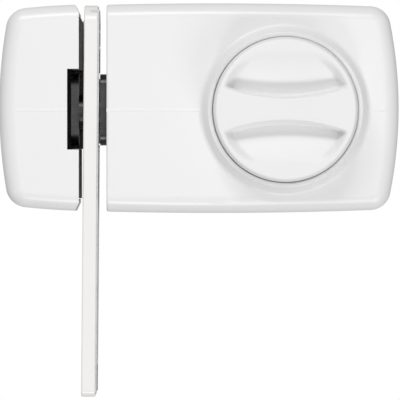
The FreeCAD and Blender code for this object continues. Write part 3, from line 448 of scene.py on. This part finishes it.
def write_press_recipe(r):
    """Moves the points of the disc's front face back by what the two recesses take there."""
    place = r.node("GeometryNodeInputPosition").outputs[0]
    split = r.node("ShaderNodeSeparateXYZ", {0: place})
    x, y, z = split.outputs
    height = r.calc("ABSOLUTE", z)
    radius = r.calc("SQRT", r.calc("ADD", r.calc("MULTIPLY", x, x), r.calc("MULTIPLY", z, z)))
    drop = r.calc("SUBTRACT", r.calc("ADD", r.size("Waist"), r.size("Grip Arc")), height)
    to_centre = r.calc("SQRT", r.calc("ADD", r.calc("MULTIPLY", x, x), r.calc("MULTIPLY", drop, drop)))
    from_grip = r.calc("SUBTRACT", r.size("Grip Arc"), to_centre)
    from_rim = r.calc("SUBTRACT", r.size("Rim Radius"), radius)
    grip_side = r.node("ShaderNodeMapRange", {"Value": from_grip, "From Max": r.size("Bead")},
                       interpolation_type="SMOOTHERSTEP")
    rim_side = r.node("ShaderNodeMapRange", {"Value": from_rim, "From Max": r.size("Run Out")},
                      interpolation_type="SMOOTHSTEP")
    wall = r.calc("MULTIPLY", grip_side.outputs[0], rim_side.outputs[0])
    floor = r.node("ShaderNodeMapRange", {"Value": height, "From Min": r.size("Far Edge"),
                                          "From Max": r.size("Waist")}, interpolation_type="SMOOTHSTEP")
    sunk = r.calc("MULTIPLY", r.calc("MULTIPLY", wall, floor.outputs[0]), r.size("Depth"))
    on_front = r.calc("LESS_THAN", y, r.size("Front"))
    offset = r.node("ShaderNodeCombineXYZ", {"Y": sunk})
    moved = r.node("GeometryNodeSetPosition", {"Geometry": r.size("Geometry"), "Selection": on_front,
                                               "Offset": offset.outputs[0]})
    r.finish(moved.outputs[0], r.size("Finish"))


write_press_recipe(press)
print("recipe:", press.tree.name, len(press.tree.nodes), "nodes")

# %% Turn the disc and press it
knob_low, knob_high = [Vector(corner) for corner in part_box("knob")]
KNOB_R = (knob_high.x - knob_low.x) / 2
KNOB_FRONT = -knob_low.y
KNOB_BACK = -knob_high.y
TO_FRONT = Matrix.Rotation(math.radians(90), 4, "X")
SHOULDER_WIDE, SHOULDER_DEEP, SHOULDER_STEPS = 1.3 * MM, 3.0 * MM, 18
BOSS_R, LEDGE_R = 8.0 * MM, 21.9 * MM
UNDER, SKIRT = 29.45 * MM, 32.3 * MM  # heights of the ledge's underside and of the disc's lower edge
SKIRT_CHAMFER = 0.2 * MM
FACE_RINGS, KNOB_SEGMENTS = 110, 300  # fine enough for the recesses to be pressed in
FACE_SKIN = 0.4 * MM  # only points this close to the front are pressed
KNOB_CRISP = 50  # degrees


def make_knob():
    """The knob, with the boss that turns in the cover on its back."""
    edge = KNOB_R - SHOULDER_WIDE
    profile = [(0, KNOB_BACK), (BOSS_R, KNOB_BACK), (BOSS_R, UNDER), (LEDGE_R, UNDER), (LEDGE_R, SKIRT),
               (KNOB_R - SKIRT_CHAMFER, SKIRT), (KNOB_R, SKIRT + SKIRT_CHAMFER)]
    for radius, height in arc_points((0, 0), 1.0, 0, 90, SHOULDER_STEPS):
        profile.append((edge + SHOULDER_WIDE * radius, KNOB_FRONT - SHOULDER_DEEP * (1 - height)))
    profile += [(edge * (FACE_RINGS - step) / FACE_RINGS, KNOB_FRONT) for step in range(1, FACE_RINGS)]
    profile.append((0, KNOB_FRONT))
    knob = lathe("knob_moulding", profile, KNOB_SEGMENTS, TO_FRONT)
    mesh = run_recipe(knob, press, {
        **PRESS_SIZES, "Front": -(KNOB_FRONT - FACE_SKIN), "Finish": finishes["knob_white"]})
    smooth_by_angle(mesh, KNOB_CRISP)
    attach(knob, "knob_set")
    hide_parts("knob")
    return knob


knob = make_knob()
print("knob faces:", len(knob.data.polygons))

# %% [markdown]
# ## Screws
# The screws that hold the steel parts repeat: four hold the case, four its lid, two the keeper and three
# the covers. They are of two kinds. A countersunk screw ends flush with the plate, a cheese head stands on
# it. One screw of each group is turned on the lathe, its thread as fine grooves, and its slot is cut with a
# Boolean. A recipe then sets copies of it on points, each turned differently, as a screwdriver leaves them.

# %% Turn a screw and cut its slot
HEAD_R, HEAD_DEEP, SHANK_R = 2.8 * MM, 1.6 * MM, 1.5 * MM
THREAD_DEEP, THREAD_STEP = 0.22 * MM, 0.6 * MM
SLOT_WIDE, SLOT_DEEP = 0.7 * MM, 0.8 * MM
HEAD_RIM, HEAD_ROUNDING = 0.1 * MM, 0.3 * MM  # of a countersunk head; of a cheese head
SCREW_SEGMENTS = 40
SCREW_CRISP = 35  # degrees


def screw_profile(countersunk, length):
    """(radius, height) points of a screw whose head's face is at height 0."""
    profile = [(0, -length), (SHANK_R - THREAD_DEEP, -length)]
    height = -length + THREAD_STEP / 2
    while height < -HEAD_DEEP - THREAD_STEP:
        profile += [(SHANK_R, height), (SHANK_R - THREAD_DEEP, height + THREAD_STEP / 2)]
        height += THREAD_STEP
    if countersunk:
        return profile + [(SHANK_R, -HEAD_DEEP), (HEAD_R, -HEAD_RIM), (HEAD_R, 0), (0, 0)]
    return (profile + [(SHANK_R, -HEAD_DEEP), (HEAD_R, -HEAD_DEEP)]
            + arc_points((HEAD_R - HEAD_ROUNDING, -HEAD_ROUNDING), HEAD_ROUNDING, 0, 90, 4) + [(0, 0)])


def make_screw(profile):
    """One slotted screw along local Z, head up."""
    screw = lathe("screw", profile, SCREW_SEGMENTS)
    knife_mesh = bpy.data.meshes.new("slot_knife")
    shape = bmesh.new()
    bmesh.ops.create_cube(shape, size=1.0)
    bmesh.ops.scale(shape, vec=(3 * HEAD_R, SLOT_WIDE, 2 * SLOT_DEEP), verts=shape.verts)
    shape.to_mesh(knife_mesh)
    shape.free()
    knife = bpy.data.objects.new("slot_knife", knife_mesh)
    bpy.context.collection.objects.link(knife)
    slot = screw.modifiers.new("slot", "BOOLEAN")
    slot.operation = "DIFFERENCE"
    slot.object = knife
    mesh = keep_result(screw, slot)
    bpy.data.objects.remove(knife)
    smooth_by_angle(mesh, SCREW_CRISP)
    return screw


print("countersunk screw, points in its profile:", len(screw_profile(True, 11.5 * MM)))

# %% Recipe that sets screws on points
drive = Recipe("drive_screws", [
    ("Screw", "NodeSocketObject"), ("Head Tilt", FLOAT), ("Turn Seed", "NodeSocketInt"),
    ("Finish", "NodeSocketMaterial")])


def write_drive_recipe(r):
    """Copies of a screw, tilted about X so that the heads face one way, each turned about its own axis."""
    screw = r.node("GeometryNodeObjectInfo", {"Object": r.size("Screw")})
    facing = r.node("ShaderNodeCombineXYZ", {"X": r.size("Head Tilt")})
    copies = r.node("GeometryNodeInstanceOnPoints", {
        "Points": r.size("Geometry"), "Instance": screw.outputs["Geometry"],
        "Rotation": facing.outputs[0]})
    chance = r.node("FunctionNodeRandomValue", {2: 0.0, 3: math.pi, "Seed": r.size("Turn Seed")},
                    data_type="FLOAT")
    spin = r.node("ShaderNodeCombineXYZ", {"Z": chance.outputs[1]})
    turned = r.node("GeometryNodeRotateInstances", {
        "Instances": copies.outputs[0], "Rotation": spin.outputs[0], "Local Space": True})
    r.finish(turned.outputs[0], r.size("Finish"))


write_drive_recipe(drive)
print("recipe:", drive.tree.name, len(drive.tree.nodes), "nodes")

# %% Set every group of screws
# node: (countersunk, axis of the screws, whether their heads are at the axis's high end)
SCREW_GROUPS = {
    "mechanism_case_screws": (True, 1, True),
    "keeper_screws": (True, 1, True),
    "mechanism_lid_screws": (False, 1, False),
    "lock_cover_screws": (False, 2, False),
    "strike_cover_screw": (False, 2, False),
}


def screw_places(low, high, axis, face):
    """Where the heads' middles are: one for each corner of the group's box, drawn in by a head's radius."""
    across = []
    for side in range(3):
        ends = {round(low[side] + HEAD_R, 6), round(high[side] - HEAD_R, 6)}
        across.append([face] if side == axis else sorted(ends))
    return [(x, y, z) for x in across[0] for y in across[1] for z in across[2]]


def drive_screws(node, countersunk, axis, heads_high, seed):
    """Makes one group of screws and puts it in the place of its CAD node."""
    low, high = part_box(node)
    face = high[axis] if heads_high else low[axis]
    points = bpy.data.meshes.new(node)
    points.from_pydata(screw_places(low, high, axis, face), [], [])
    piece = bpy.data.objects.new(node + "_slotted", points)
    bpy.context.collection.objects.link(piece)
    screw = make_screw(screw_profile(countersunk, high[axis] - low[axis]))
    tilt = math.pi if axis == 2 else math.radians(-90 if heads_high else 90)
    mesh = run_recipe(piece, drive, {
        "Screw": screw, "Head Tilt": tilt, "Turn Seed": seed, "Finish": finishes["screw_steel"]})
    bpy.data.objects.remove(screw)
    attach(piece, "fixed")
    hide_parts(node)
    print(node, "faces:", len(mesh.polygons))


for seed, (node, kind) in enumerate(SCREW_GROUPS.items(), start=1):
    drive_screws(node, *kind, seed)

# %% [markdown]
# ## Studio
# A white moulding on white needs light from all round, or its rounded edges turn grey. So the world gives a
# good share of the light. A large soft lamp stands in front, and two smaller ones rake across the face from
# the upper left and the lower right: they draw the bright lines on the roundings and leave the finger
# recesses a little shaded. Two narrow lamps, above and below the gap, reach the dark bolt in it and light
# its rounded edges. A camera ray that meets nothing sees plain white. The floor is a pale sheet well below
# the lock. It doesn't show in light that bounces or in reflections, and throws no shadow, so that it
# neither tints the mouldings nor shades them from the lower lamps.

# %% Lay the floor
FLOOR_DROP, FLOOR_REACH, FLOOR_GLOW = 0.9, 15.0, 0.45


def pale_floor():
    """A flat pale sheet below the object."""
    mesh = bpy.data.meshes.new("floor")
    corners = [(x * FLOOR_REACH, y * FLOOR_REACH, -FLOOR_DROP)
               for x, y in ((-1, -1), (1, -1), (1, 1), (-1, 1))]
    mesh.from_pydata(corners, [], [(0, 1, 2, 3)])
    sheet = bpy.data.objects.new("floor", mesh)
    bpy.context.collection.objects.link(sheet)
    material = bpy.data.materials.new("floor")
    material.use_nodes = True
    shader = material.node_tree.nodes["Principled BSDF"]
    shader.inputs["Base Color"].default_value = grey(0.9)
    shader.inputs["Roughness"].default_value = 1.0
    shader.inputs["Emission Color"].default_value = grey(1.0)
    shader.inputs["Emission Strength"].default_value = FLOOR_GLOW
    mesh.materials.append(material)
    sheet.visible_diffuse = False
    sheet.visible_glossy = False
    sheet.visible_shadow = False
    return sheet


print("floor:", pale_floor().name)

# %% Light it
# name: place, width of the lamp, watts
LAMPS = {
    "front": ((0.30, -1.75, 0.10), 1.3, 6.5),
    "upper_left": ((-0.50, -0.75, 1.00), 0.5, 4.6),
    "lower_right": ((0.55, -0.75, -1.00), 0.5, 4.0),
    "bolt_upper": ((-0.07, -0.85, 0.95), 0.22, 2.6),
    "bolt_lower": ((-0.07, -0.85, -1.05), 0.22, 2.8),
}
WORLD_LIGHT = 0.41


def soft_lamp(name, place, width, power):
    """A square soft lamp that is turned to the middle of the object."""
    data = bpy.data.lights.new(name, "AREA")
    data.size = width
    data.energy = power
    lamp = bpy.data.objects.new(name, data)
    lamp.location = place
    away = Vector((VIEW_X, 0, VIEW_Z)) - Vector(place)
    lamp.rotation_euler = away.to_track_quat("-Z", "Y").to_euler()
    bpy.context.collection.objects.link(lamp)


def white_world():
    """Even light from all round; a camera ray that meets nothing sees plain white."""
    world = bpy.data.worlds.new("world")
    world.use_nodes = True
    tree = world.node_tree
    background = tree.nodes["Background"]
    background.inputs["Color"].default_value = grey(1.0)
    seen = add_node(tree, "ShaderNodeLightPath").outputs["Is Camera Ray"]
    strength = add_node(tree, "ShaderNodeMapRange", {"Value": seen, "To Min": WORLD_LIGHT, "To Max": 1.0})
    tree.links.new(strength.outputs[0], background.inputs["Strength"])
    bpy.context.scene.world = world


for name, (place, width, power) in LAMPS.items():
    soft_lamp(name, place, width, power)
white_world()
